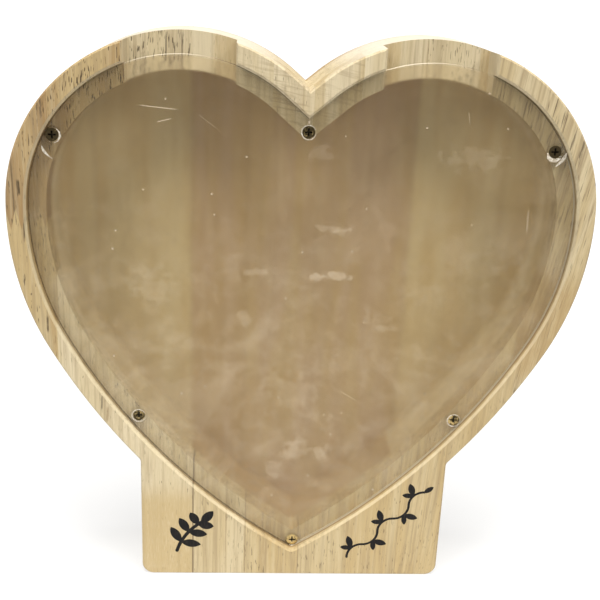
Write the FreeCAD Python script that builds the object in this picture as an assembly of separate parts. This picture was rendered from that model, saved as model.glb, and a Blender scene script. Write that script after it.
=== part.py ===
import FreeCAD, Part
import math
import os

from FreeCAD import Vector

# A heart-shaped wooden collecting box that stands on its own foot. It is glued up from three
# layers of edge-glued staves: a front layer with two insertion slots, a ring, and a back board.
# A clear front panel lies in a rebate of the front layer, held by six countersunk screws.
# Units are millimetres. The front faces -Y, +Z is up, and the foot stands on the plane Z = 0.
# While it is built, Y = 0 is the front face; each piece is then moved so that Y = 0 is mid-depth.

# Layers, as depths behind the front face
FRONT_DEPTH = 16.0
RING_DEPTH = 21.0
BACK_DEPTH = 6.0
RING_Y = FRONT_DEPTH
BACK_Y = FRONT_DEPTH + RING_DEPTH
TOTAL_DEPTH = BACK_Y + BACK_DEPTH

# Heart outline: a straight notch line, then a lobe, a shoulder and a flank arc down to the tip
NOTCH_Z = 230.5
NOTCH_SLOPE = 41.0
LOBE_R = 73.0
SHOULDER_R = 125.0
SHOULDER_Z = 175.7
LOBE_END = 3.4
SHOULDER_END = -28.7
FLANK_R = 290.0

# Foot
FOOT_WIDTH = 142.0
FOOT_TOP = 66.0
FOOT_CORNER_R = 5.5
NECK_R = 3.0
NECK_Z = 61.0
EDGE_EASE = 0.7

# Rim, rebate and cavity, as insets from the outline
RIM = 8.3
RIM_CHAMFER = 1.0
RIM_TIP_R = 2.6
REBATE_DEPTH = 6.0
CAVITY_INSET = 15.8
CAVITY_TIP_R = 2.0

# Insertion slots through the front layer
SLOT_INNER_X = 30.3
SLOT_OUTER_X = 75.4
SLOT_BOTTOM_Z = 205.0
SLOT_TOP_Z = 262.0
SLOT_EASE = 0.8

# Front panel and its protective film
PANEL_GAP = 0.35
PANEL_THICK = 3.0
PANEL_SEAT_GAP = 0.05
PANEL_Y = REBATE_DEPTH - PANEL_SEAT_GAP - PANEL_THICK
FILM_THICK = 0.15
FILM_GAP = 0.02
FILM_INSET = 0.6
FILM_HOLE_R = 3.6

# Screws: six countersunk wood screws with a cross recess
HEAD_R = 2.7
HEAD_SINK = 0.4
SHANK_R = 1.4
CORE_R = 1.05
SCREW_TIP_Y = 15.0
TIP_LENGTH = 2.4
THREAD_START_Y = 6.6
THREAD_PITCH = 1.1
THREAD_ROOT_START = 0.35 * THREAD_PITCH
THREAD_ROOT_END = 0.65 * THREAD_PITCH
CROSS_LENGTH = 3.3
CROSS_WIDTH = 0.75
CROSS_DEPTH = 1.3
CROSS_TAPER = 0.7
CROSS_FLOOR_WIDTH = 0.7 * CROSS_WIDTH
PANEL_HOLE_R = 1.6
PILOT_R = 1.46
PILOT_END_Y = 15.4
COUNTERSINK_GAP = 0.15
SCREW_PLACES = {
    "screw_lobe_left": (-105.1, 209.2),
    "screw_lobe_right": (104.5, 208.6),
    "screw_notch": (0.1, 213.5),
    "screw_flank_left": (-71.8, 82.7),
    "screw_flank_right": (73.0, 82.6),
    "screw_tip": (0.4, 17.4),
}

# Finger joint across the left rim
FINGER_Z = 174.0
FINGER_LENGTH = 9.5
FINGER_PITCH = 4.4

# Engraved marks on the foot
MARK_POCKET = 0.4
MARK_RECESS = 0.05
SPRIG_ROOT = Vector(-54.5, 0, 13.0)
SPRIG_TOP = Vector(-42.5, 0, 29.0)
SPRIG_STROKE = 1.7
SPRIG_BOW = 1.8
SPRIG_LEAVES = ((0.25, 1.3, 9.5), (0.58, 1.7, 8.8), (0.88, 0.7, 7.4))
VINE_START = Vector(27.0, 0, 10.0)
VINE_END = Vector(62.0, 0, 46.0)
VINE_WAVES = 5
VINE_STROKE = 1.2
VINE_BOW = 2.2

# Glue joints between staves, as places across the width
MID_Z = 165.0
FAR = 200.0
FRONT_JOINTS = {"bow_left": -106.0, "left": -47.0, "centre_left": -22.4,
                "centre": 3.2, "right": 50.4, "bow_right": 98.0}
NOTCH_JOINTS = {"left": -15.2, "centre": 1.7, "right": 21.4}
RING_JOINTS = {"bow_left": -96.0, "left": -48.5, "centre": -2.0, "right": 47.0, "bow_right": 97.0}
BACK_JOINTS = [-93.0, -50.0, -24.0, 8.0, 51.0, 94.0]


def polar(centre, radius, degrees):
    """The point at an angle on a circle that stands in an XZ plane."""
    angle = math.radians(degrees)
    return Vector(centre.x + radius * math.cos(angle), centre.y, centre.z + radius * math.sin(angle))


def arc(centre, radius, start, end):
    """An arc edge between two angles, in the XZ plane of its centre."""
    middle = polar(centre, radius, (start + end) / 2)
    return Part.Arc(polar(centre, radius, start), middle, polar(centre, radius, end)).toShape()


def heart_half(inset, y, tip_r):
    """The right half of the heart outline at depth y, from the notch round to the rounded tip."""
    shoulder = Vector(0, y, SHOULDER_Z)
    lobe = polar(shoulder, SHOULDER_R - LOBE_R, LOBE_END)
    flank = polar(shoulder, SHOULDER_R - FLANK_R, SHOULDER_END)
    notch = Vector(0, y, NOTCH_Z - inset / math.cos(math.radians(NOTCH_SLOPE)))
    tip_angle = -math.degrees(math.acos(-flank.x / (FLANK_R - inset - tip_r)))
    lobe_start = polar(lobe, LOBE_R - inset, 90 + NOTCH_SLOPE)
    edges = [
        Part.LineSegment(notch, lobe_start).toShape(),
        arc(lobe, LOBE_R - inset, 90 + NOTCH_SLOPE, LOBE_END),
        arc(shoulder, SHOULDER_R - inset, LOBE_END, SHOULDER_END),
        arc(flank, FLANK_R - inset, SHOULDER_END, tip_angle),
    ]
    if tip_r:
        tip = polar(flank, FLANK_R - inset - tip_r, tip_angle)
        edges.append(arc(tip, tip_r, tip_angle, -90))
    return edges


def heart_wire(inset, y, tip_r=0.0):
    """The closed heart outline, moved inwards by inset, at depth y."""
    right = heart_half(inset, y, tip_r)
    left = [edge.mirror(Vector(0, 0, 0), Vector(1, 0, 0)) for edge in reversed(right)]
    return Part.Wire(right + left)


def heart_prism(inset, y_low, y_high, tip_r=0.0):
    """A heart-shaped solid between two depths."""
    return Part.Face(heart_wire(inset, y_low, tip_r)).extrude(Vector(0, y_high - y_low, 0))


def rim_tip_r(inset):
    """The tip radius of an outline that runs alongside the rim's inner wall."""
    return RIM_TIP_R - (inset - RIM)


def box(x_low, x_high, y_low, y_high, z_low, z_high):
    """An axis-aligned block given by its limits."""
    corner = Vector(x_low, y_low, z_low)
    return Part.makeBox(x_high - x_low, y_high - y_low, z_high - z_low, corner)


def edges_at(shape, test):
    """The edges of a shape whose every end satisfies a test."""
    return [edge for edge in shape.Edges if all(test(vertex.Point) for vertex in edge.Vertexes)]


def blank(y_low, y_high):
    """One layer of the case before anything is cut: the heart with its foot."""
    foot = box(-FOOT_WIDTH / 2, FOOT_WIDTH / 2, y_low, y_high, 0, FOOT_TOP)
    corners = edges_at(foot, lambda p: abs(p.z) < 0.01 and abs(abs(p.x) - FOOT_WIDTH / 2) < 0.01)
    corners = [edge for edge in corners if abs(edge.Length - (y_high - y_low)) < 0.01]
    foot = foot.makeFillet(FOOT_CORNER_R, corners)
    shape = heart_prism(0, y_low, y_high).fuse(foot).removeSplitter()
    necks = edges_at(shape, lambda p: abs(abs(p.x) - FOOT_WIDTH / 2) < 0.01 and abs(p.z - NECK_Z) < 2)
    necks = [edge for edge in necks if abs(edge.Length - (y_high - y_low)) < 0.01]
    return shape.makeFillet(NECK_R, necks)


def eased(shape, y):
    """The layer with its outer edge at depth y broken by a small chamfer."""
    return shape.makeChamfer(EDGE_EASE, edges_at(shape, lambda p: abs(p.y - y) < 0.01))


def slot_cutter(side):
    """The tool that cuts one insertion slot, flared where it meets the front face."""
    inner = side * SLOT_INNER_X
    outer = side * SLOT_OUTER_X
    ease = side * SLOT_EASE
    section = [
        Vector(inner - ease, -0.1, SLOT_BOTTOM_Z), Vector(inner - ease, 0, SLOT_BOTTOM_Z),
        Vector(inner, SLOT_EASE, SLOT_BOTTOM_Z), Vector(inner, FRONT_DEPTH, SLOT_BOTTOM_Z),
        Vector(outer, FRONT_DEPTH, SLOT_BOTTOM_Z), Vector(outer, SLOT_EASE, SLOT_BOTTOM_Z),
        Vector(outer + ease, 0, SLOT_BOTTOM_Z), Vector(outer + ease, -0.1, SLOT_BOTTOM_Z),
    ]
    face = Part.Face(Part.makePolygon(section + section[:1]))
    return face.extrude(Vector(0, 0, SLOT_TOP_Z - SLOT_BOTTOM_Z))


def rim_chamfer_cutter():
    """The tapered tool that breaks the inner edge of the rim."""
    wide = heart_wire(RIM - RIM_CHAMFER, 0, rim_tip_r(RIM - RIM_CHAMFER))
    narrow = heart_wire(RIM, RIM_CHAMFER, RIM_TIP_R)
    return Part.makeLoft([wide, narrow], True, True)


def cylinder_y(x, z, radius, y_low, y_high):
    """A cylinder along the depth axis."""
    return Part.makeCylinder(radius, y_high - y_low, Vector(x, y_low, z), Vector(0, 1, 0))


def front_layer():
    """The front layer in one piece: rebate, cavity, slots, pilot holes and eased edges."""
    shape = eased(blank(0, FRONT_DEPTH), 0)
    shape = shape.cut(heart_prism(CAVITY_INSET, 0, FRONT_DEPTH, CAVITY_TIP_R))
    shape = shape.cut(heart_prism(RIM, 0, REBATE_DEPTH, RIM_TIP_R))
    shape = shape.cut(rim_chamfer_cutter())
    for side in (-1, 1):
        shape = shape.cut(slot_cutter(side))
    for x, z in SCREW_PLACES.values():
        shape = shape.cut(cylinder_y(x, z, PILOT_R, REBATE_DEPTH - 1, PILOT_END_Y))
    return shape


def finger_region():
    """The space above a zigzag finger joint, which crosses the left rim."""
    points = []
    x = -FAR
    step = FINGER_PITCH / 2
    rising = True
    while x < FRONT_JOINTS["bow_left"] + 2 * FINGER_PITCH:
        points.append(Vector(x, 0, FINGER_Z + (FINGER_LENGTH / 2 if rising else -FINGER_LENGTH / 2)))
        rising = not rising
        x += step
    points.append(Vector(points[-1].x, 0, FAR * 2))
    points.append(Vector(-FAR, 0, FAR * 2))
    return Part.Face(Part.makePolygon(points + points[:1])).extrude(Vector(0, FRONT_DEPTH, 0))


def stave(layer, x_low, x_high, z_low=-FAR, z_high=2 * FAR):
    """The part of a layer between two glue joints."""
    return layer.common(box(x_low, x_high, 0, TOTAL_DEPTH, z_low, z_high))


def front_staves(layer):
    """The staves that the front layer is glued up from."""
    joint = FRONT_JOINTS
    bow_left = stave(layer, -FAR, joint["bow_left"])
    fingers = finger_region()
    return {
        "front_bow_left_upper": bow_left.common(fingers),
        "front_bow_left_lower": bow_left.cut(fingers),
        "front_shoulder_left": stave(layer, joint["bow_left"], -SLOT_OUTER_X + 2, MID_Z),
        "front_flank_left": stave(layer, joint["bow_left"], joint["left"], z_high=MID_Z),
        "foot_stave_left": stave(layer, joint["left"], joint["centre_left"], z_high=MID_Z),
        "foot_stave_centre": stave(layer, joint["centre_left"], joint["centre"], z_high=MID_Z),
        "foot_stave_right": stave(layer, joint["centre"], joint["right"], z_high=MID_Z),
        "front_flank_right": stave(layer, joint["right"], joint["bow_right"], z_high=MID_Z),
        "front_shoulder_right": stave(layer, SLOT_OUTER_X - 2, joint["bow_right"], MID_Z),
        "front_bow_right": stave(layer, joint["bow_right"], FAR),
    }


def notch_staves(layer):
    """The staves of the V-shaped block that stands between the two slots."""
    joint = NOTCH_JOINTS
    return {
        "notch_stave_outer_left": stave(layer, -SLOT_INNER_X - 2, joint["left"], MID_Z),
        "notch_stave_inner_left": stave(layer, joint["left"], joint["centre"], MID_Z),
        "notch_stave_inner_right": stave(layer, joint["centre"], joint["right"], MID_Z),
        "notch_stave_outer_right": stave(layer, joint["right"], SLOT_INNER_X + 2, MID_Z),
    }


def ring_staves():
    """The staves of the ring, which is the wall of the cavity and the floor of the slots."""
    layer = blank(RING_Y, BACK_Y).cut(heart_prism(CAVITY_INSET, RING_Y, BACK_Y, CAVITY_TIP_R))
    joint = RING_JOINTS
    spans = {
        "outer_left": (joint["bow_left"], joint["left"]),
        "inner_left": (joint["left"], joint["centre"]),
        "inner_right": (joint["centre"], joint["right"]),
        "outer_right": (joint["right"], joint["bow_right"]),
    }
    staves = {
        "ring_bow_left": stave(layer, -FAR, joint["bow_left"]),
        "ring_bow_right": stave(layer, joint["bow_right"], FAR),
    }
    for name, (x_low, x_high) in spans.items():
        staves["ring_upper_" + name] = stave(layer, x_low, x_high, z_low=MID_Z)
        staves["ring_lower_" + name] = stave(layer, x_low, x_high, z_high=MID_Z)
    return staves


def back_staves():
    """The staves of the back board."""
    layer = eased(blank(BACK_Y, TOTAL_DEPTH), TOTAL_DEPTH)
    limits = [-FAR] + BACK_JOINTS + [FAR]
    pairs = zip(limits[:-1], limits[1:])
    return {f"back_stave_{n}": stave(layer, low, high) for n, (low, high) in enumerate(pairs, 1)}


def front_panel():
    """The clear panel with its six countersunk holes."""
    inset = RIM + PANEL_GAP
    back_y = PANEL_Y + PANEL_THICK
    shape = heart_prism(inset, PANEL_Y, back_y, rim_tip_r(inset))
    mouth_r = HEAD_R + HEAD_SINK + COUNTERSINK_GAP
    for x, z in SCREW_PLACES.values():
        shape = shape.cut(cylinder_y(x, z, PANEL_HOLE_R, PANEL_Y, back_y))
        sink = Part.makeCone(mouth_r, PANEL_HOLE_R, mouth_r - PANEL_HOLE_R,
                             Vector(x, PANEL_Y, z), Vector(0, 1, 0))
        shape = shape.cut(sink)
    return shape


def protective_film():
    """The thin film left on the panel, with a round opening at each screw."""
    inset = RIM + PANEL_GAP + FILM_INSET
    y_high = PANEL_Y - FILM_GAP
    y_low = y_high - FILM_THICK
    shape = heart_prism(inset, y_low, y_high, rim_tip_r(inset))
    for x, z in SCREW_PLACES.values():
        shape = shape.cut(cylinder_y(x, z, FILM_HOLE_R, y_low, y_high))
    return shape


def screw(x, z):
    """A countersunk wood screw: head, plain shank, ridged thread and point."""
    head_y = PANEL_Y + HEAD_SINK
    profile = [(0, head_y), (HEAD_R, head_y), (SHANK_R, head_y + HEAD_R - SHANK_R),
               (SHANK_R, THREAD_START_Y)]
    y = THREAD_START_Y
    while y + THREAD_PITCH < SCREW_TIP_Y - TIP_LENGTH:
        profile.append((CORE_R, y + THREAD_ROOT_START))
        profile.append((CORE_R, y + THREAD_ROOT_END))
        profile.append((SHANK_R, y + THREAD_PITCH))
        y += THREAD_PITCH
    profile.append((CORE_R, y + THREAD_ROOT_START))
    profile.append((0, SCREW_TIP_Y))
    points = [Vector(radius, depth, 0) for radius, depth in profile]
    face = Part.Face(Part.makePolygon(points + points[:1]))
    shape = face.revolve(Vector(0, 0, 0), Vector(0, 1, 0), 360)
    for width, height in ((CROSS_LENGTH, CROSS_WIDTH), (CROSS_WIDTH, CROSS_LENGTH)):
        shape = shape.cut(cross_blade(width, height, head_y))
    shape.translate(Vector(x, 0, z))
    return shape


def cross_blade(width, height, head_y):
    """One blade of the cross recess, which narrows with depth."""
    mouth = Part.makePlane(width, height, Vector(-width / 2, head_y - 0.01, height / 2),
                           Vector(0, 1, 0), Vector(1, 0, 0))
    floor_width = max(width - 2 * CROSS_DEPTH * CROSS_TAPER, CROSS_FLOOR_WIDTH)
    floor_height = max(height - 2 * CROSS_DEPTH * CROSS_TAPER, CROSS_FLOOR_WIDTH)
    floor = Part.makePlane(floor_width, floor_height,
                           Vector(-floor_width / 2, head_y + CROSS_DEPTH, floor_height / 2),
                           Vector(0, 1, 0), Vector(1, 0, 0))
    return Part.makeLoft([mouth.OuterWire, floor.OuterWire], True, True)


def leaf(base, degrees, length, width):
    """A pointed leaf, the area between two arcs, that grows from its base in a given direction."""
    tip = polar(base, length, degrees)
    middle = (base + tip) / 2
    side = polar(Vector(0, 0, 0), width / 2, degrees + 90)
    upper = Part.Arc(base, middle + side, tip).toShape()
    lower = Part.Arc(tip, middle - side, base).toShape()
    return Part.Face(Part.Wire([upper, lower]))


def ribbon(start, end, bulge, width):
    """A stroke of even width along an arc that bulges to the left of its chord, with round ends."""
    along = end - start
    side = Vector(-along.z, 0, along.x).normalize()
    radius = (along.Length ** 2 / 4 + bulge ** 2) / (2 * bulge)
    centre = (start + end) / 2 + side * (bulge - radius)
    middle = centre + side * radius
    grow = width / 2 / radius
    outer = [p + (p - centre) * grow for p in (start, middle, end)]
    inner = [p - (p - centre) * grow for p in (end, middle, start)]
    caps = []
    for p, sign in ((end, 1), (start, -1)):
        spoke = (p - centre).normalize() * (1 if radius > 0 else -1)
        caps.append(p + Vector(spoke.z, 0, -spoke.x) * sign * width / 2)
    return Part.Face(Part.Wire([
        Part.Arc(*outer).toShape(),
        Part.Arc(outer[2], caps[0], inner[0]).toShape(),
        Part.Arc(*inner).toShape(),
        Part.Arc(inner[2], caps[1], outer[0]).toShape(),
    ]))


def sprig_faces():
    """A leafy sprig: a bowed stem with pairs of leaves and one leaf at its top.

    Each pair of leaves is given by its share of the stem, the stem's bow there and its length.
    """
    stem = SPRIG_TOP - SPRIG_ROOT
    faces = [ribbon(SPRIG_ROOT, SPRIG_TOP, SPRIG_BOW, SPRIG_STROKE)]
    heading = math.degrees(math.atan2(stem.z, stem.x))
    side = polar(Vector(0, 0, 0), 1, heading + 90)
    for share, bow, length in SPRIG_LEAVES:
        base = SPRIG_ROOT + stem * share + side * bow
        faces.append(leaf(base, heading + 68, length, 4.2))
        faces.append(leaf(base, heading - 62, length, 4.2))
    faces.append(leaf(SPRIG_TOP - stem.normalize(), heading - 4, 8.6, 4.4))
    return faces


def vine_faces():
    """A rising vine: a wavy stem with a small leaf on each crest."""
    step = (VINE_END - VINE_START) / VINE_WAVES
    heading = math.degrees(math.atan2(step.z, step.x))
    left = polar(Vector(0, 0, 0), 1, heading + 90)
    faces = []
    for n in range(VINE_WAVES):
        side = -1 if n % 2 else 1
        low = VINE_START + step * n
        faces.append(ribbon(low, low + step, side * VINE_BOW, VINE_STROKE))
        crest = low + step / 2 + left * side * VINE_BOW
        faces.append(leaf(crest, heading + side * 62, 7.0, 3.2))
        faces.append(leaf(crest - left * side * 0.2, heading + side * 128, 5.6, 2.6))
    faces.append(leaf(VINE_END - step.normalize() * 0.4, heading - 10, 5.5, 2.6))
    return faces


def engrave(staves, faces):
    """Cuts a mark's pocket out of the staves that it crosses and returns the mark itself."""
    solids = [face.extrude(Vector(0, MARK_POCKET, 0)) for face in faces]
    pocket = solids[0].multiFuse(solids[1:]).removeSplitter()
    for name in list(staves):
        if staves[name].BoundBox.intersect(pocket.BoundBox):
            staves[name] = staves[name].cut(pocket)
    skin = box(-FAR, FAR, MARK_RECESS, MARK_POCKET, 0, FAR)
    return pocket.common(skin)


def main():
    os.makedirs("parts", exist_ok=True)
    layer = front_layer()
    staves = front_staves(layer)
    nodes = {
        "sprig_mark": engrave(staves, sprig_faces()),
        "vine_mark": engrave(staves, vine_faces()),
    }
    nodes.update(staves)
    nodes.update(notch_staves(layer))
    nodes.update(ring_staves())
    nodes.update(back_staves())
    nodes["front_panel"] = front_panel()
    nodes["protective_film"] = protective_film()
    for name, (x, z) in SCREW_PLACES.items():
        nodes[name] = screw(x, z)
    for name, shape in nodes.items():
        shape.translate(Vector(0, -TOTAL_DEPTH / 2, 0))
        print(name, "valid", shape.isValid(), "solids", len(shape.Solids), "mm3", round(shape.Volume))
        shape.exportStep(f"parts/{name}.step")


main()
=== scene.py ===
import bmesh
import bpy
import math
import random

from mathutils import Matrix, Vector


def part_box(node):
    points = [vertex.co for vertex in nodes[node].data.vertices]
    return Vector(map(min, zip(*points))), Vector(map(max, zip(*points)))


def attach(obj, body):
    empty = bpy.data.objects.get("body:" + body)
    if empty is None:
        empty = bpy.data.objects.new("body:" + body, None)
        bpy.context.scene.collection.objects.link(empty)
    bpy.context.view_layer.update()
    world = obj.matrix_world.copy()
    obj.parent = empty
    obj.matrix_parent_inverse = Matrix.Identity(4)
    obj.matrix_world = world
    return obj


# A heart-shaped collecting box of pale, edge-glued rubberwood with a hazy clear front.
# Lengths named here are millimetres in the row frame unless the name ends in _M.
# The front faces -Y, +Z is up, and the foot stands on Z = 0.

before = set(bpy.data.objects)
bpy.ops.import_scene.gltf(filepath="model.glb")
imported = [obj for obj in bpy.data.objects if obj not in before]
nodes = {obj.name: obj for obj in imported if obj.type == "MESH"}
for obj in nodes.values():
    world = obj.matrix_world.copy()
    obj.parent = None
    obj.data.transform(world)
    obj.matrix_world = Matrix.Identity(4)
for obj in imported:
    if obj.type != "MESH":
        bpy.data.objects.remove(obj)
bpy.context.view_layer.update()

MM = 0.001
FILM_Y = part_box("protective_film")[0].y / MM
# The screws, and how much of each head is tarnished
PATINA = {"screw_lobe_left": 0.9, "screw_lobe_right": 0.95, "screw_notch": 0.7,
          "screw_flank_left": 0.55, "screw_flank_right": 0.45, "screw_tip": 0.2}

# Camera: where it stands and how it is turned, in metres and degrees
CAMERA_PLACE_M = Vector((-0.0240, -0.4075, 0.2765))
CAMERA_PITCH = 19.3
CAMERA_YAW = 3.44
CAMERA_ROLL = 2.43
SENSOR_MM = 36.0
LENS_MM = 56.4
NEAREST_M = 0.01
FARTHEST_M = 100.0

# Studio: a high soft key light, two weaker fills from the front left and right, a dim sky, and
# a floor that glows white behind the box. Heights and turns are degrees.
KEY_STRENGTH = 3.6
KEY_HEIGHT = 79.0
KEY_SPREAD = 36.0
FILL_STRENGTH = 1.3
FILL_HEIGHT = 38.0
FILL_TURN = 50.0
FILL_SPREAD = 26.0
SKY_STRENGTH = 0.20
SKY_SEEN = 1.0
FLOOR_SIDE_M = 40.0
FLOOR_PALE = 0.30
FLOOR_GLOW = 0.66
FLOOR_DIM = 0.05
GLOW_NONE_Y = -500.0
GLOW_FULL_Y = -120.0
LAMP_COLOUR = (1.0, 0.985, 0.96)
SKY_COLOUR = (0.99, 0.99, 1.0)
FLOOR_COLOUR = (1.0, 1.0, 0.995)

# Colours, as linear red, green and blue: wood first, with the painted top highlight among them, then
# plastic with the painted highlight and shades of its sawn edge, metal and ink
CREAM = (0.660, 0.560, 0.370)
PALE = (0.600, 0.495, 0.305)
STRAW = (0.540, 0.425, 0.235)
AMBER = (0.500, 0.370, 0.180)
HONEY = (0.430, 0.300, 0.140)
TAN = (0.440, 0.325, 0.165)
ORANGE = (0.400, 0.270, 0.120)
STREAK = (0.310, 0.225, 0.125)
CHESTNUT = (0.330, 0.205, 0.085)
ROSY = (0.430, 0.300, 0.175)
BROWN = (0.260, 0.165, 0.075)
PORE = (0.075, 0.050, 0.025)
GLUE = (0.170, 0.115, 0.060)
# Painted highlight: the colour that up-facing tops are lightened towards, standing in for the strong key
# light
PAINTED_TOP_HIGHLIGHT = (0.780, 0.735, 0.640)
MILK = (0.780, 0.660, 0.490)
FILM_WHITE = (0.780, 0.720, 0.610)
FILM_SHADE = (0.460, 0.380, 0.270)
# Painted highlight and painted shades for the sawn edge of the clear sheet
SAWN_EDGE_HIGHLIGHT = (0.850, 0.760, 0.600)
SAWN_EDGE_SHADE = (0.260, 0.180, 0.100)
SAWN_EDGE_DEEP_SHADE = (0.090, 0.060, 0.030)
BRASS = (0.600, 0.440, 0.190)
TARNISH = (0.035, 0.028, 0.018)
INK = (0.009, 0.008, 0.008)
WORN_INK = (0.035, 0.028, 0.020)
PANEL_TINT = (0.990, 0.980, 0.960)
FILM_TINT = (0.985, 0.967, 0.925)
LAMP_TINT = (0.975, 0.975, 0.965)
BLACK = (0.0, 0.0, 0.0)

# How finely each layer of the wood varies, as noise cells to a millimetre across the grain, through
# the depth and along the grain
FIGURE_SCALE = (0.09, 0.09, 0.010)
BANDS_SCALE = (0.36, 0.36, 0.013)
STREAKS_SCALE = (0.85, 0.85, 0.030)
FIBRES_SCALE = (3.2, 3.2, 0.22)
CLOUDS_SCALE = (0.05, 0.05, 0.022)
PORES_ACROSS = 1.9
PORES_ALONG = 0.25
RIPPLE_SCALE = (0.9, 0.9, 0.07)
RIPPLE_TURN = 78.0
SEED_STEP = (37.3, 11.7, 53.9)
GRAIN_HEIGHT = 0.15

# Painted light and shade on the wood: painted highlight on the tops, the sideways walls and the inner
# chamfer, and painted shade in the crease beside the clear panel. How much of another colour is mixed
# in, and between which places that starts or ends
TOP_HIGHLIGHT_SHARE = 0.6
TOP_HIGHLIGHT_LOW_Z = 120.0
TOP_HIGHLIGHT_HIGH_Z = 180.0
SIDE_WALL_HIGHLIGHT_SHARE = 0.8
CHAMFER_HIGHLIGHT_SHARE = 0.45
CREASE_SHADE_SHARE = 0.8
CREASE_TOP_Z = 150.0
CREASE_FULL_Z = 135.0
CREASE_LEFT_X = 78.0
CREASE_RIGHT_X = 82.0
CREASE_FRONT_Y = (-19.15, -18.9)
CREASE_BACK_Y = (-18.3, -17.9)

# Plastic
PLASTIC_IOR = 1.49
PLASTIC_SHEEN = 0.4
PANEL_ROUGHNESS = 0.03
FILM_ROUGHNESS = 0.24
FILM_HAZE = 0.008
SAWN_SHARE = 0.6
SLANT_POWER = 5.0

# How strongly the film is clouded by smears and blotches, how much of that is left at the top, and
# the haze added at the tip
SMEARS = 0.07
BLOTCHES = 0.05
TOP_CLOUDING = 0.15
CLOUD_TOP_Z = 225.0
CLOUD_FULL_Z = 120.0
TIP_HAZE = 0.015
TIP_HAZE_Z = (130.0, 45.0)
SPECK_SCALE = 0.11
SPECK_SHARE = 0.30


class Nodes:
    """A material's node tree, with one short method for each kind of node that is used here."""

    def __init__(self, name):
        self.material = bpy.data.materials.new(name)
        self.material.use_nodes = True
        self.tree = self.material.node_tree
        self.tree.nodes.clear()

    def add(self, kind, **settings):
        node = self.tree.nodes.new("ShaderNode" + kind)
        for key, value in settings.items():
            setattr(node, key, value)
        return node

    def feed(self, socket, value):
        """Links a socket to an output, or sets it to a plain value."""
        if isinstance(value, bpy.types.NodeSocket):
            self.tree.links.new(value, socket)
        elif socket.type == "RGBA":
            socket.default_value = (*value, 1.0)
        else:
            socket.default_value = value

    def math(self, operation, *values):
        node = self.add("Math", operation=operation)
        for socket, value in zip(node.inputs, values):
            self.feed(socket, value)
        return node.outputs[0]

    def smooth(self, value, low, high, to_low=0.0, to_high=1.0):
        """A smooth step of value from low to high."""
        node = self.add("MapRange", interpolation_type="SMOOTHSTEP")
        for socket, number in zip(node.inputs, (value, low, high, to_low, to_high)):
            self.feed(socket, number)
        return node.outputs[0]

    def mix(self, share, first, second):
        """The first colour, with a share of the second mixed in."""
        node = self.add("Mix", data_type="RGBA")
        self.feed(node.inputs["Factor"], share)
        self.feed(node.inputs[6], first)
        self.feed(node.inputs[7], second)
        return node.outputs[2]

    def millimetres(self, offset=(0, 0, 0), turn=(0, 0, 0), scale=(1, 1, 1)):
        """The piece's own coordinates in millimetres, moved, turned in degrees, then stretched."""
        place = self.add("TexCoord").outputs["Object"]
        turned = self.add("Mapping", vector_type="POINT")
        self.feed(turned.inputs["Vector"], place)
        turned.inputs["Scale"].default_value = [1 / MM] * 3
        turned.inputs["Location"].default_value = offset
        turned.inputs["Rotation"].default_value = [math.radians(a) for a in turn]
        stretched = self.add("VectorMath", operation="MULTIPLY")
        self.feed(stretched.inputs[0], turned.outputs[0])
        self.feed(stretched.inputs[1], scale)
        return stretched.outputs[0]

    def axes(self, vector):
        node = self.add("SeparateXYZ")
        self.feed(node.inputs[0], vector)
        return node.outputs[0], node.outputs[1], node.outputs[2]

    def noise(self, vector, detail=2.0, roughness=0.5, distortion=0.0):
        node = self.add("TexNoise")
        self.feed(node.inputs["Vector"], vector)
        node.inputs["Scale"].default_value = 1.0
        node.inputs["Detail"].default_value = detail
        node.inputs["Roughness"].default_value = roughness
        node.inputs["Distortion"].default_value = distortion
        return node.outputs[0]

    def blend(self, share, first, second):
        """A mix of two shader nodes."""
        node = self.add("MixShader")
        self.feed(node.inputs[0], share)
        self.feed(node.inputs[1], first.outputs[0])
        self.feed(node.inputs[2], second.outputs[0])
        return node

    def all_of(self, *shares):
        """The product of several shares."""
        product = shares[0]
        for share in shares[1:]:
            product = self.math("MULTIPLY", product, share)
        return product

    def output(self, shader):
        self.feed(self.add("OutputMaterial").inputs["Surface"], shader)
        return self.material


def line_mask(g, x, z, start, end, width, softness=0.6):
    """1 near the straight line between two places on the front, 0 away from its sides and ends."""
    dx, dz = end[0] - start[0], end[1] - start[1]
    length = math.hypot(dx, dz)
    ux, uz = dx / length, dz / length
    rel_x = g.math("SUBTRACT", x, start[0])
    rel_z = g.math("SUBTRACT", z, start[1])
    along = g.math("ADD", g.math("MULTIPLY", rel_x, ux), g.math("MULTIPLY", rel_z, uz))
    across = g.math("SUBTRACT", g.math("MULTIPLY", rel_z, ux), g.math("MULTIPLY", rel_x, uz))
    near = g.smooth(g.math("ABSOLUTE", across), width / 2, width / 2 * (1 + softness), 1.0, 0.0)
    fade = max(0.15 * length, 0.3)
    started = g.smooth(along, -fade, fade)
    unfinished = g.smooth(along, length - fade, length + fade, 1.0, 0.0)
    return g.all_of(near, g.all_of(started, unfinished))


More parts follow.
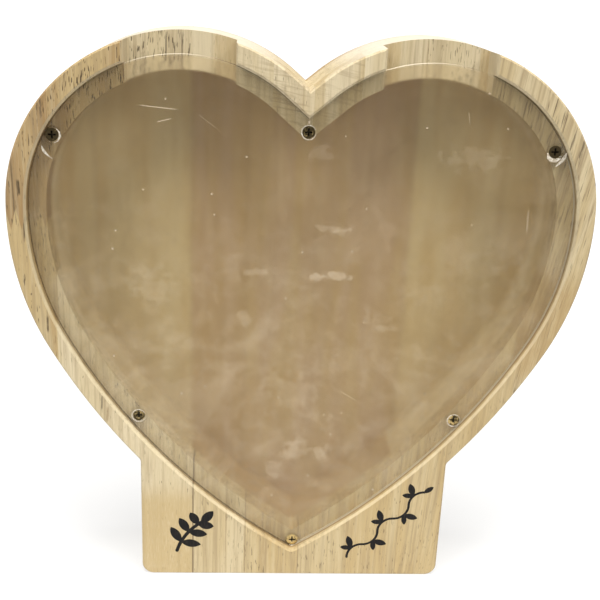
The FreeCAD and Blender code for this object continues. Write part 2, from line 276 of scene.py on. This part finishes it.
def grain(g, shift, turn, light, dark, contrast):
    """The colour of sanded wood, from its broad figure down to its fibres, and the fibres' noise."""
    figure = g.noise(g.millimetres(shift, turn, FIGURE_SCALE), detail=3.0, roughness=0.55, distortion=0.6)
    bands = g.noise(g.millimetres(shift, turn, BANDS_SCALE), detail=3.0, roughness=0.6, distortion=0.3)
    streaks = g.noise(g.millimetres(shift, turn, STREAKS_SCALE), detail=3.0, roughness=0.6, distortion=0.3)
    fibres = g.noise(g.millimetres(shift, turn, FIBRES_SCALE), detail=3.0, roughness=0.6)
    colour = g.mix(g.smooth(figure, 0.38, 0.62), light, dark)
    colour = g.mix(g.smooth(bands, 0.47, 0.64, 0.0, 0.42 * contrast), colour, STREAK)
    colour = g.mix(g.smooth(streaks, 0.49, 0.66, 0.0, 0.50 * contrast), colour, STREAK)
    colour = g.mix(g.smooth(streaks, 0.34, 0.47, 0.22, 0.0), colour, CREAM)
    colour = g.mix(g.smooth(fibres, 0.50, 0.72, 0.0, 0.26 * contrast), colour, STREAK)
    return colour, fibres


def pore_dashes(g, shift, turn, pores, length):
    """Short dark dashes along the grain, crowded together in some places."""
    clouds = g.noise(g.millimetres(shift, turn, CLOUDS_SCALE), detail=2.0)
    fine = (PORES_ACROSS, PORES_ACROSS, PORES_ALONG / length)
    dashes = g.noise(g.millimetres(shift, turn, fine), detail=1.5, roughness=0.45, distortion=0.15)
    crowd = g.smooth(clouds, 0.40, 0.60, 0.07, 0.0)
    threshold = g.math("ADD", crowd, 0.665 - 0.085 * pores)
    above = g.math("SUBTRACT", dashes, threshold)
    return g.smooth(above, 0.0, 0.05, 0.0, 0.30 + 0.5 * pores)


def rippled(g, colour, shift, ripple):
    """The colour with faint darker waves across the grain."""
    waves = g.noise(g.millimetres(shift, (0, RIPPLE_TURN, 0), RIPPLE_SCALE), detail=3.0, roughness=0.6)
    return g.mix(g.smooth(waves, 0.47, 0.66, 0.0, ripple), colour, STREAK)


def marked(g, colour, place, fibres, lines):
    """The colour with single marks, ragged along their edges."""
    x, _, z = place
    for start, end, width, strength, tint in lines:
        mask = line_mask(g, x, z, start, end, width)
        ragged = g.smooth(fibres, 0.30, 0.55, 0.45, 1.0)
        colour = g.mix(g.all_of(mask, ragged, strength), colour, tint)
    return colour


def glued(g, colour, x, edges, strengths):
    """The colour with a dark line of glue along the left and right edges."""
    for edge, strength in zip(edges, strengths):
        if strength:
            gap = g.math("ABSOLUTE", g.math("SUBTRACT", x, edge))
            colour = g.mix(g.smooth(gap, 0.18, 0.55, strength, 0.0), colour, GLUE)
    return colour


def chamfer_highlight_crease_shade(g, colour, place, normal):
    """The colour with a painted highlight on the inner chamfer, and painted shade in the crease beside the
    clear panel.
    """
    x, y, z = place
    sideways, facing, upward = normal
    # Painted highlight on the slanted chamfer faces that face the centre of the box
    slanted = g.all_of(g.smooth(facing, -0.92, -0.85), g.smooth(facing, -0.45, -0.55))
    inward = g.smooth(g.math("MULTIPLY", sideways, x), -4.0, -12.0)
    colour = g.mix(g.all_of(slanted, inward, CHAMFER_HIGHLIGHT_SHARE), colour, CREAM)
    # Painted shade in a narrow depth beside the panel's edge: on up-facing walls low on the box, and on
    # left-facing walls on the right
    below = g.all_of(g.smooth(upward, 0.15, 0.35), g.smooth(z, CREASE_TOP_Z, CREASE_FULL_Z))
    right = g.all_of(g.smooth(sideways, -0.25, -0.45), g.smooth(x, CREASE_LEFT_X, CREASE_RIGHT_X))
    beside = g.all_of(g.smooth(y, *CREASE_FRONT_Y), g.smooth(y, *CREASE_BACK_Y, 1.0, 0.0))
    return g.mix(g.all_of(g.math("MAXIMUM", below, right), beside, CREASE_SHADE_SHARE), colour, BROWN)


def wood(name, seed, edges, lines, light, dark, contrast=1.0, pores=0.5, pore_length=1.0,
         slant=0.0, ripple=0.0, left_glue=0.0, right_glue=0.0):
    """Sanded rubberwood: grain up Z, broad figure, fine streaks, dark pore dashes and glue lines, with
    painted highlights on tops and side walls, and a painted chamfer highlight and crease shade.
    """
    g = Nodes(name)
    shift = tuple(seed * step for step in SEED_STEP)
    turn = (0, slant, 0)
    colour, fibres = grain(g, shift, turn, light, dark, contrast)
    pore = pore_dashes(g, shift, turn, pores, pore_length)
    colour = g.mix(pore, colour, PORE)
    if ripple:
        colour = rippled(g, colour, shift, ripple)
    place = g.axes(g.millimetres())
    colour = marked(g, colour, place, fibres, lines)
    colour = glued(g, colour, place[0], edges, (left_glue, right_glue))
    normal = g.axes(g.add("NewGeometry").outputs["Normal"])
    # Painted highlight: up-facing tops high on the box are lightened, standing in for the key light that
    # blows them out
    on_top = g.smooth(normal[2], 0.78, 0.97, 0.0, TOP_HIGHLIGHT_SHARE)
    top = g.all_of(on_top, g.smooth(place[2], TOP_HIGHLIGHT_LOW_Z, TOP_HIGHLIGHT_HIGH_Z))
    colour = g.mix(top, colour, PAINTED_TOP_HIGHLIGHT)
    # Painted highlight: sideways-facing walls of the shoulder and outer notch staves are lightened towards
    # cream, standing in for light from the sides
    if name.startswith(("front_shoulder", "notch_stave_outer")):
        side_wall_highlight = g.smooth(g.math("ABSOLUTE", normal[0]), 0.90, 0.98, 0.0, SIDE_WALL_HIGHLIGHT_SHARE)
        colour = g.mix(side_wall_highlight, colour, CREAM)
    # Painted chamfer highlight and painted crease shade on the front and foot staves
    if name.startswith(("front", "foot")):
        colour = chamfer_highlight_crease_shade(g, colour, place, normal)
    shader = g.add("BsdfPrincipled")
    g.feed(shader.inputs["Base Color"], colour)
    shader.inputs["Specular IOR Level"].default_value = 0.3
    g.feed(shader.inputs["Roughness"], g.smooth(fibres, 0.3, 0.7, 0.55, 0.72))
    bump = g.add("Bump")
    bump.inputs["Distance"].default_value = GRAIN_HEIGHT * MM
    bump.inputs["Strength"].default_value = 0.6
    g.feed(bump.inputs["Height"], g.math("SUBTRACT", fibres, pore))
    g.feed(shader.inputs["Normal"], bump.outputs[0])
    return g.output(shader.outputs[0])


# Every stave's look: light and dark tone, contrast, how many pores and how long they are, slant of
# the grain in degrees, ripple across it, and how strong the glue line is on its left and right
STAVES = {
    "front_bow_left_upper": dict(light=HONEY, dark=CHESTNUT, contrast=1.1, pores=0.8),
    "front_bow_left_lower": dict(light=STRAW, dark=AMBER, contrast=0.9, pores=0.8),
    "front_shoulder_left": dict(light=AMBER, dark=ORANGE, contrast=0.7, pores=1.2),
    "front_flank_left": dict(light=CREAM, dark=PALE, contrast=0.8, pores=0.6, right_glue=0.8),
    "foot_stave_left": dict(light=PALE, dark=STRAW, contrast=0.7, pores=0.3, left_glue=0.8),
    "foot_stave_centre": dict(light=STRAW, dark=AMBER, contrast=0.9, pores=0.5, left_glue=0.3),
    "foot_stave_right": dict(light=STRAW, dark=AMBER, contrast=0.8, pores=0.4, left_glue=0.25),
    "front_flank_right": dict(light=STRAW, dark=AMBER, contrast=0.9, pores=0.4, slant=-3,
                              left_glue=0.3),
    "front_shoulder_right": dict(light=PALE, dark=STRAW, contrast=1.0, pores=0.7, pore_length=2.4,
                                 slant=-7),
    "front_bow_right": dict(light=PALE, dark=STRAW, contrast=1.3, pores=0.7, pore_length=2.8,
                            slant=-9),
    "notch_stave_outer_left": dict(light=CREAM, dark=PALE, contrast=0.5, pores=0.2, ripple=0.3),
    "notch_stave_inner_left": dict(light=CREAM, dark=STRAW, contrast=0.6, pores=0.3, ripple=0.45),
    "notch_stave_inner_right": dict(light=CREAM, dark=STRAW, contrast=0.6, pores=0.2, ripple=0.3),
    "notch_stave_outer_right": dict(light=CREAM, dark=PALE, contrast=0.5, pores=0.2),
    "ring_bow_left": dict(light=CREAM, dark=STRAW, contrast=0.9, pores=0.6),
    "ring_upper_outer_left": dict(light=CREAM, dark=PALE, contrast=0.8, pores=1.0),
    "ring_lower_outer_left": dict(light=PALE, dark=STRAW, contrast=0.8, pores=0.5),
    "ring_upper_inner_left": dict(light=CREAM, dark=PALE, contrast=0.7, pores=0.3),
    "ring_lower_inner_left": dict(light=HONEY, dark=ORANGE, contrast=0.6, pores=0.4),
    "ring_upper_inner_right": dict(light=CREAM, dark=PALE, contrast=0.8, pores=0.3),
    "ring_lower_inner_right": dict(light=HONEY, dark=ORANGE, contrast=0.6, pores=0.4),
    "ring_upper_outer_right": dict(light=CREAM, dark=PALE, contrast=0.8, pores=0.6),
    "ring_lower_outer_right": dict(light=PALE, dark=STRAW, contrast=0.8, pores=0.4),
    "ring_bow_right": dict(light=CREAM, dark=STRAW, contrast=0.9, pores=0.5),
    "back_stave_1": dict(light=STRAW, dark=AMBER, contrast=0.25, pores=0.2, right_glue=0.5),
    "back_stave_2": dict(light=STRAW, dark=AMBER, contrast=0.25, pores=0.2, right_glue=0.5),
    "back_stave_3": dict(light=ROSY, dark=ORANGE, contrast=0.25, pores=0.2, right_glue=0.5),
    "back_stave_4": dict(light=ROSY, dark=HONEY, contrast=0.25, pores=0.2, right_glue=0.4),
    "back_stave_5": dict(light=ROSY, dark=HONEY, contrast=0.25, pores=0.2, right_glue=0.6),
    "back_stave_6": dict(light=STRAW, dark=AMBER, contrast=0.25, pores=0.2, right_glue=0.5),
    "back_stave_7": dict(light=STRAW, dark=AMBER, contrast=0.25, pores=0.2),
}

# Single marks in the wood, such as knots and dark streaks: start and end as (x, z), width,
# strength and colour
MARKS = {
    "front_bow_left_upper": [
        ((-119.2, 190.5), (-119.0, 184.5), 1.0, 0.9, PORE),
        ((-121.6, 199.0), (-121.2, 168.0), 0.5, 0.6, PORE),
    ],
    "front_bow_left_lower": [
        ((-117.3, 176.0), (-117.9, 165.5), 0.7, 0.8, PORE),
        ((-107.9, 133.0), (-106.9, 112.0), 1.6, 0.6, ORANGE),
        ((-109.9, 131.0), (-110.0, 124.0), 0.7, 0.8, PORE),
    ],
    "front_bow_right": [
        ((120.0, 152.0), (104.0, 104.0), 22.0, 0.8, HONEY),
    ],
    "front_flank_right": [
        ((98.0, 106.0), (68.0, 70.0), 24.0, 0.4, TAN),
    ],
    "front_flank_left": [
        ((-59.0, 44.0), (-59.0, -6.0), 20.0, 0.85, AMBER),
        ((-87.6, 93.5), (-87.9, 87.0), 0.6, 0.7, PORE),
        ((-85.2, 88.0), (-85.6, 81.0), 0.8, 0.6, BROWN),
    ],
}
SLOT_FLOOR_LEFT = [
    ((-59.5, 250.0), (-59.5, 240.0), 0.6, 0.7, PORE),
    ((-52.9, 250.0), (-52.9, 236.0), 0.5, 0.6, PORE),
    ((-44.9, 256.0), (-44.9, 212.0), 7.0, 0.7, CREAM),
    ((-35.4, 256.0), (-35.4, 212.0), 7.0, 0.5, AMBER),
]
SLOT_FLOOR_RIGHT = [
    ((35.2, 256.0), (35.2, 212.0), 4.0, 0.6, AMBER),
    ((73.6, 256.0), (73.6, 212.0), 3.0, 0.6, AMBER),
    ((49.3, 252.0), (49.3, 226.0), 0.5, 0.5, BROWN),
]
FOOT_SEAMS = [((x, 46.0), (x, 1.0), 0.5, 0.45, BROWN) for x in (-31.4, -22.4, 3.2)]
for end in ("left", "centre", "right"):
    MARKS["foot_stave_" + end] = FOOT_SEAMS
for row in ("outer", "inner"):
    MARKS["ring_upper_%s_left" % row] = SLOT_FLOOR_LEFT
    MARKS["ring_upper_%s_right" % row] = SLOT_FLOOR_RIGHT


def glass(name, tint, roughness, veil=None):
    """A clear or hazy plastic that lamps shine through, less so at a slant. veil gives its milk."""
    g = Nodes(name)
    inside = g.add("BsdfRefraction")
    inside.inputs["Color"].default_value = (*tint, 1.0)
    inside.inputs["Roughness"].default_value = roughness
    inside.inputs["IOR"].default_value = PLASTIC_IOR
    gloss = g.add("BsdfAnisotropic")
    gloss.inputs["Roughness"].default_value = roughness
    fresnel = g.add("Fresnel")
    fresnel.inputs["IOR"].default_value = PLASTIC_IOR
    body = g.blend(g.math("MULTIPLY", fresnel.outputs[0], PLASTIC_SHEEN), inside, gloss)
    if veil is not None:
        milk = g.add("BsdfDiffuse")
        milk.inputs["Color"].default_value = (*MILK, 1.0)
        body = g.blend(veil(g), body, milk)
    slanting = g.add("LayerWeight")
    slanting.inputs["Blend"].default_value = 0.5
    turned_back = g.math("POWER", slanting.outputs["Facing"], SLANT_POWER)
    lamp = g.add("BsdfTransparent")
    g.feed(lamp.inputs["Color"], g.mix(turned_back, LAMP_TINT, BLACK))
    path = g.add("LightPath")
    unseen = g.math("MAXIMUM", path.outputs["Is Shadow Ray"], path.outputs["Is Diffuse Ray"])
    return g.output(g.blend(unseen, body, lamp).outputs[0])


def sawn_edge(name):
    """The sawn side of the clear sheet: a painted highlight where it faces left and not steeply down, and
    mottled painted shade elsewhere.
    """
    g = Nodes(name)
    sideways, _, upward = g.axes(g.add("NewGeometry").outputs["Normal"])
    # Painted highlight where the edge faces left and not steeply down; mottled painted shade elsewhere
    lit_side = g.math("MULTIPLY", g.smooth(upward, -0.70, -0.35), g.smooth(sideways, 0.30, -0.10))
    shade_mottle = g.noise(g.millimetres(scale=(0.9, 0.9, 0.9)), detail=3.0, roughness=0.6)
    edge_shade = g.mix(g.smooth(shade_mottle, 0.4, 0.6), SAWN_EDGE_DEEP_SHADE, SAWN_EDGE_SHADE)
    dull = g.add("BsdfDiffuse")
    g.feed(dull.inputs["Color"], g.mix(lit_side, edge_shade, SAWN_EDGE_HIGHLIGHT))
    clear = g.add("BsdfTransparent")
    seen = g.math("SUBTRACT", 1.0, g.add("LightPath").outputs["Is Shadow Ray"])
    return g.output(g.blend(g.math("MULTIPLY", seen, SAWN_SHARE), clear, dull).outputs[0])


# Places where the film has lifted: centre (x, z), half width, half height and strength
LIFTED = [
    ((15.5, 151.5), 6.5, 1.9, 0.16),
    ((6.0, 150.5), 3.4, 1.8, 0.14),
    ((-20.0, 152.5), 4.5, 1.6, 0.08),
    ((12.5, 173.0), 7.0, 1.8, 0.08),
    ((16.0, 171.5), 3.0, 2.0, 0.08),
    ((5.5, 205.0), 5.0, 3.0, 0.05),
    ((-1.0, 66.0), 6.0, 5.0, 0.10),
    ((12.0, 65.5), 4.0, 3.0, 0.09),
    ((-9.0, 57.0), 4.0, 4.5, 0.07),
    ((37.0, 127.5), 4.5, 1.8, 0.07),
    ((-24.5, 131.0), 2.8, 3.2, 0.06),
    ((29.5, 134.0), 1.6, 4.0, 0.06),
    ((-66.0, 145.0), 9.0, 8.0, 0.05),
    ((70.0, 205.0), 12.0, 5.0, 0.05),
    ((-2.0, 96.0), 12.0, 9.0, 0.05),
]

# Scratches in the film: start and end as (x, z), width and strength
SCRATCHES = [
    ((-68.5, 222.3), (-55.0, 221.2), 0.25, 0.36),
    ((-62.0, 215.9), (-56.6, 217.3), 0.25, 0.32),
    ((-45.0, 219.0), (-38.0, 214.0), 0.18, 0.10),
    ((96.0, 183.0), (96.4, 174.0), 0.5, 0.12),
    ((66.0, 224.0), (67.0, 219.0), 0.2, 0.15),
    ((20.0, 96.0), (27.0, 92.0), 0.2, 0.15),
    ((0.1, 218.6), (0.1, 216.4), 0.5, 0.35),
]


def cloudiness(g, z):
    """The film's even haze and cloudy smears, fainter towards the top and fuller at the tip."""
    broad = g.millimetres((5, 0, 9), (0, 25, 0), (0.030, 0.03, 0.045))
    narrow = g.millimetres((3, 0, 5), scale=(0.12, 0.12, 0.10))
    smears = g.noise(broad, detail=4.0, roughness=0.6, distortion=0.8)
    blotches = g.noise(narrow, detail=4.0, roughness=0.65, distortion=0.4)
    veil = g.math("ADD", g.smooth(smears, 0.42, 0.72, 0.0, SMEARS), FILM_HAZE)
    veil = g.math("ADD", veil, g.smooth(blotches, 0.45, 0.70, 0.0, BLOTCHES))
    veil = g.math("MULTIPLY", veil, g.smooth(z, CLOUD_TOP_Z, CLOUD_FULL_Z, TOP_CLOUDING, 1.0))
    return g.math("ADD", veil, g.smooth(z, *TIP_HAZE_Z, 0.0, TIP_HAZE))


def bubble(g, x, z, wobble, centre, half_x, half_z, strength):
    """A ragged oval where the film has lifted."""
    rx = g.math("DIVIDE", g.math("SUBTRACT", x, centre[0]), half_x)
    rz = g.math("DIVIDE", g.math("SUBTRACT", z, centre[1]), half_z)
    radius = g.math("SQRT", g.math("ADD", g.math("MULTIPLY", rx, rx), g.math("MULTIPLY", rz, rz)))
    ragged = g.math("ADD", radius, g.smooth(wobble, 0.3, 0.7, -0.6, 0.6))
    return g.smooth(ragged, 0.4, 1.3, strength, 0.0)


def film_veil(g):
    """How milky the film is: haze and smears, lifted bubbles, scratches and specks of dust."""
    x, _, z = g.axes(g.millimetres())
    veil = cloudiness(g, z)
    wobble = g.noise(g.millimetres(scale=(0.22, 0.22, 0.22)), detail=3.0, roughness=0.6)
    for centre, half_x, half_z, strength in LIFTED:
        veil = g.math("ADD", veil, bubble(g, x, z, wobble, centre, half_x, half_z, strength))
    for start, end, width, strength in SCRATCHES:
        mask = line_mask(g, x, z, start, end, width, 1.0)
        veil = g.math("ADD", veil, g.math("MULTIPLY", mask, strength))
    specks = g.add("TexVoronoi", feature="F1")
    g.feed(specks.inputs["Vector"], g.millimetres(scale=(SPECK_SCALE, SPECK_SCALE, SPECK_SCALE)))
    specks.inputs["Scale"].default_value = 1.0
    return g.math("ADD", veil, g.smooth(specks.outputs["Distance"], 0.03, 0.065, SPECK_SHARE, 0.0))


def torn_film(name):
    """Stretched white film where it has torn or curled up."""
    g = Nodes(name)
    creases = g.noise(g.millimetres(scale=(1.4, 1.4, 1.4)), detail=3.0, roughness=0.6)
    shader = g.add("BsdfPrincipled")
    colour = g.mix(g.smooth(creases, 0.35, 0.65), FILM_WHITE, FILM_SHADE)
    g.feed(shader.inputs["Base Color"], colour)
    shader.inputs["Roughness"].default_value = 0.35
    return g.output(shader.outputs[0])


def brass(name, patina):
    """Plated screw metal, tarnished in patches and dark in the cross recess and the thread."""
    g = Nodes(name)
    head_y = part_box("screw_tip")[0].y / MM
    _, y, _ = g.axes(g.millimetres())
    worn = g.noise(g.millimetres(scale=(1.3, 1.3, 1.3)), detail=3.0, roughness=0.6)
    depth = g.math("SUBTRACT", y, head_y)
    recess = g.smooth(depth, 0.02, 0.30)
    patches = g.smooth(worn, 0.62 - 0.5 * patina, 0.75 - 0.4 * patina, 0.0, 0.9)
    shader = g.add("BsdfPrincipled")
    tarnished = g.math("MAXIMUM", recess, patches)
    g.feed(shader.inputs["Base Color"], g.mix(tarnished, BRASS, TARNISH))
    shader.inputs["Metallic"].default_value = 1.0
    g.feed(shader.inputs["Roughness"], g.smooth(worn, 0.3, 0.7, 0.28, 0.5))
    return g.output(shader.outputs[0])


def ink(name):
    """Matt black, slightly worn where the pores of the wood show through."""
    g = Nodes(name)
    pores = g.noise(g.millimetres(scale=(2.2, 2.2, 0.25)), detail=3.0, roughness=0.6)
    shader = g.add("BsdfPrincipled")
    g.feed(shader.inputs["Base Color"], g.mix(g.smooth(pores, 0.45, 0.8), INK, WORN_INK))
    shader.inputs["Roughness"].default_value = 0.75
    shader.inputs["Specular IOR Level"].default_value = 0.2
    return g.output(shader.outputs[0])


def set_material(obj, material):
    obj.data.materials.clear()
    obj.data.materials.append(material)


def paint_wood():
    for seed, (name, look) in enumerate(STAVES.items(), 1):
        low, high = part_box(name)
        edges = (low.x / MM, high.x / MM)
        lines = MARKS.get(name, ())
        set_material(nodes[name], wood(name + "_wood", seed, edges, lines, **look))


def paint_front():
    panel = nodes["front_panel"]
    set_material(panel, glass("clear_acrylic", PANEL_TINT, PANEL_ROUGHNESS))
    panel.data.materials.append(sawn_edge("sawn_acrylic"))
    for face in panel.data.polygons:
        face.material_index = int(abs(face.normal.y) < 0.5)
    film = glass("hazy_film", FILM_TINT, FILM_ROUGHNESS, film_veil)
    set_material(nodes["protective_film"], film)
    for name, patina in PATINA.items():
        set_material(nodes[name], brass(name + "_brass", patina))
    for name in ("sprig_mark", "vine_mark"):
        set_material(nodes[name], ink(name + "_ink"))


# Curls of torn film by the lobe screws: the path of each as (x, z) and its width
LEFT_RING = [(-103.2, 211.9), (-101.9, 210.4), (-101.7, 208.6), (-102.7, 206.7), (-104.3, 205.9)]
LEFT_TEAR = [(-109.4, 204.6), (-108.6, 202.5), (-107.0, 200.7), (-105.2, 199.4)]
RIGHT_RING = [(101.2, 208.2), (101.6, 206.4), (103.2, 205.2), (105.2, 205.0), (107.0, 206.0)]
RIGHT_FLAP = [(105.3, 202.6), (107.2, 204.4), (108.6, 206.4), (109.4, 208.6)]
CURLS = {
    "film_curl_left_ring": (LEFT_RING, 0.7),
    "film_curl_left_tear": (LEFT_TEAR, 1.0),
    "film_curl_right_ring": (RIGHT_RING, 1.8),
    "film_curl_right_flap": (RIGHT_FLAP, 1.8),
}
CURL_THICK = 0.12

# Rings of torn film around the notch screw and the flank screws
BURR_SCREWS = ("screw_flank_left", "screw_flank_right", "screw_notch")
BURR_FIRST_SEED = 11
BURR_RADIUS = 3.0
BURR_WIDTH = 0.5
BURR_CORNERS = 17
BURR_OPEN_DEGREES = 20.0


def burr_path(centre):
    """A nearly closed ring of stretched film around a screw."""
    step = (360.0 - BURR_OPEN_DEGREES) / (BURR_CORNERS - 1)
    turns = [math.radians(BURR_OPEN_DEGREES + step * index) for index in range(BURR_CORNERS)]
    x, z = centre.x / MM, centre.z / MM
    return [(x + BURR_RADIUS * math.cos(a), z + BURR_RADIUS * math.sin(a)) for a in turns]


def curl(name, path, width, seed):
    """A thin tapering strip of film that lies on the front and follows a path."""
    draw = random.Random(seed)
    mesh = bmesh.new()
    rings = []
    for index, (x, z) in enumerate(path):
        before = Vector(path[max(index - 1, 0)])
        after = Vector(path[min(index + 1, len(path) - 1)])
        along = (after - before).normalized()
        taper = 0.25 + 0.75 * math.sin(math.pi * index / (len(path) - 1))
        half = width / 2 * taper * draw.uniform(0.7, 1.3)
        one = (x - along.y * half, z + along.x * half)
        other = (x + along.y * half, z - along.x * half)
        corners = [(*one, 0), (*other, 0), (*other, CURL_THICK), (*one, CURL_THICK)]
        places = [(px * MM, (FILM_Y - rise) * MM, pz * MM) for px, pz, rise in corners]
        rings.append([mesh.verts.new(place) for place in places])
    for first, second in zip(rings, rings[1:]):
        for side in range(4):
            following = (side + 1) % 4
            mesh.faces.new((first[side], first[following], second[following], second[side]))
    mesh.faces.new(reversed(rings[0]))
    mesh.faces.new(rings[-1])
    bmesh.ops.recalc_face_normals(mesh, faces=mesh.faces)
    data = bpy.data.meshes.new(name)
    mesh.to_mesh(data)
    mesh.free()
    piece = bpy.data.objects.new(name, data)
    bpy.context.scene.collection.objects.link(piece)
    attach(piece, "front_panel")
    return piece


def film_curls():
    white = torn_film("torn_film")
    for seed, (name, (path, width)) in enumerate(CURLS.items(), 1):
        set_material(curl(name, path, width, seed), white)
    for seed, screw in enumerate(BURR_SCREWS, BURR_FIRST_SEED):
        low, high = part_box(screw)
        name = screw.replace("screw", "film_burr")
        set_material(curl(name, burr_path((low + high) / 2), BURR_WIDTH, seed), white)


def camera():
    """A camera turned by yaw, pitch and roll, set from its own axes."""
    pitch, yaw, roll = (math.radians(a) for a in (CAMERA_PITCH, CAMERA_YAW, CAMERA_ROLL))
    reach = math.cos(pitch)
    ahead = Vector((math.sin(yaw) * reach, math.cos(yaw) * reach, -math.sin(pitch)))
    level = Vector((math.cos(yaw), -math.sin(yaw), 0))
    upright = level.cross(ahead)
    right = math.cos(roll) * level + math.sin(roll) * upright
    up = -math.sin(roll) * level + math.cos(roll) * upright
    data = bpy.data.cameras.new("camera")
    data.sensor_width = SENSOR_MM
    data.lens = LENS_MM
    data.clip_start = NEAREST_M
    data.clip_end = FARTHEST_M
    obj = bpy.data.objects.new("camera", data)
    axes = Matrix((right, up, -ahead)).transposed()
    obj.matrix_world = Matrix.Translation(CAMERA_PLACE_M) @ axes.to_4x4()
    bpy.context.scene.collection.objects.link(obj)
    bpy.context.scene.camera = obj


def soft_light(name, strength, height, spread, turn=0.0):
    """A broad soft sun in front of the box, turned to its right by turn. All angles are degrees."""
    data = bpy.data.lights.new(name, "SUN")
    data.energy = strength
    data.angle = math.radians(spread)
    data.color = LAMP_COLOUR
    obj = bpy.data.objects.new(name, data)
    up = math.radians(height)
    aside = math.radians(turn)
    reach = math.cos(up)
    away = Vector((math.sin(aside) * reach, -math.cos(aside) * reach, math.sin(up)))
    obj.matrix_world = away.to_track_quat("Z", "Y").to_matrix().to_4x4()
    bpy.context.scene.collection.objects.link(obj)


def floor():
    """A plain pale floor out to the horizon. It glows behind the box and less in front of it."""
    mesh = bpy.data.meshes.new("floor")
    side = FLOOR_SIDE_M
    corners = [(-side, -side, 0), (side, -side, 0), (side, side, 0), (-side, side, 0)]
    mesh.from_pydata(corners, [], [(0, 1, 2, 3)])
    obj = bpy.data.objects.new("floor", mesh)
    bpy.context.scene.collection.objects.link(obj)
    g = Nodes("floor_paint")
    _, y, _ = g.axes(g.millimetres())
    shader = g.add("BsdfPrincipled")
    shader.inputs["Base Color"].default_value = (FLOOR_PALE, FLOOR_PALE, FLOOR_PALE, 1.0)
    shader.inputs["Roughness"].default_value = 0.9
    shader.inputs["Specular IOR Level"].default_value = 0.1
    shader.inputs["Emission Color"].default_value = (*FLOOR_COLOUR, 1.0)
    seen = g.math("MULTIPLY", g.add("LightPath").outputs["Is Camera Ray"], FLOOR_GLOW)
    glow = g.smooth(y, GLOW_NONE_Y, GLOW_FULL_Y, FLOOR_DIM, FLOOR_GLOW)
    g.feed(shader.inputs["Emission Strength"], g.math("MAXIMUM", glow, seen))
    set_material(obj, g.output(shader.outputs[0]))


def sky():
    """A dim even sky that looks white where it is seen directly or through the panel."""
    world = bpy.data.worlds.new("studio")
    world.use_nodes = True
    tree = world.node_tree
    back = tree.nodes["Background"]
    back.inputs["Color"].default_value = (*SKY_COLOUR, 1.0)
    path = tree.nodes.new("ShaderNodeLightPath")
    either = tree.nodes.new("ShaderNodeMath")
    either.operation = "MAXIMUM"
    tree.links.new(path.outputs["Is Camera Ray"], either.inputs[0])
    tree.links.new(path.outputs["Is Transmission Ray"], either.inputs[1])
    strength = tree.nodes.new("ShaderNodeMapRange")
    strength.inputs["To Min"].default_value = SKY_STRENGTH
    strength.inputs["To Max"].default_value = SKY_SEEN
    tree.links.new(either.outputs[0], strength.inputs["Value"])
    tree.links.new(strength.outputs[0], back.inputs["Strength"])
    bpy.context.scene.world = world


paint_wood()
paint_front()
film_curls()
floor()
soft_light("key", KEY_STRENGTH, KEY_HEIGHT, KEY_SPREAD)
soft_light("fill_left", FILL_STRENGTH, FILL_HEIGHT, FILL_SPREAD, -FILL_TURN)
soft_light("fill_right", FILL_STRENGTH, FILL_HEIGHT, FILL_SPREAD, FILL_TURN)
sky()
camera()
bpy.context.scene.view_settings.view_transform = "Standard"
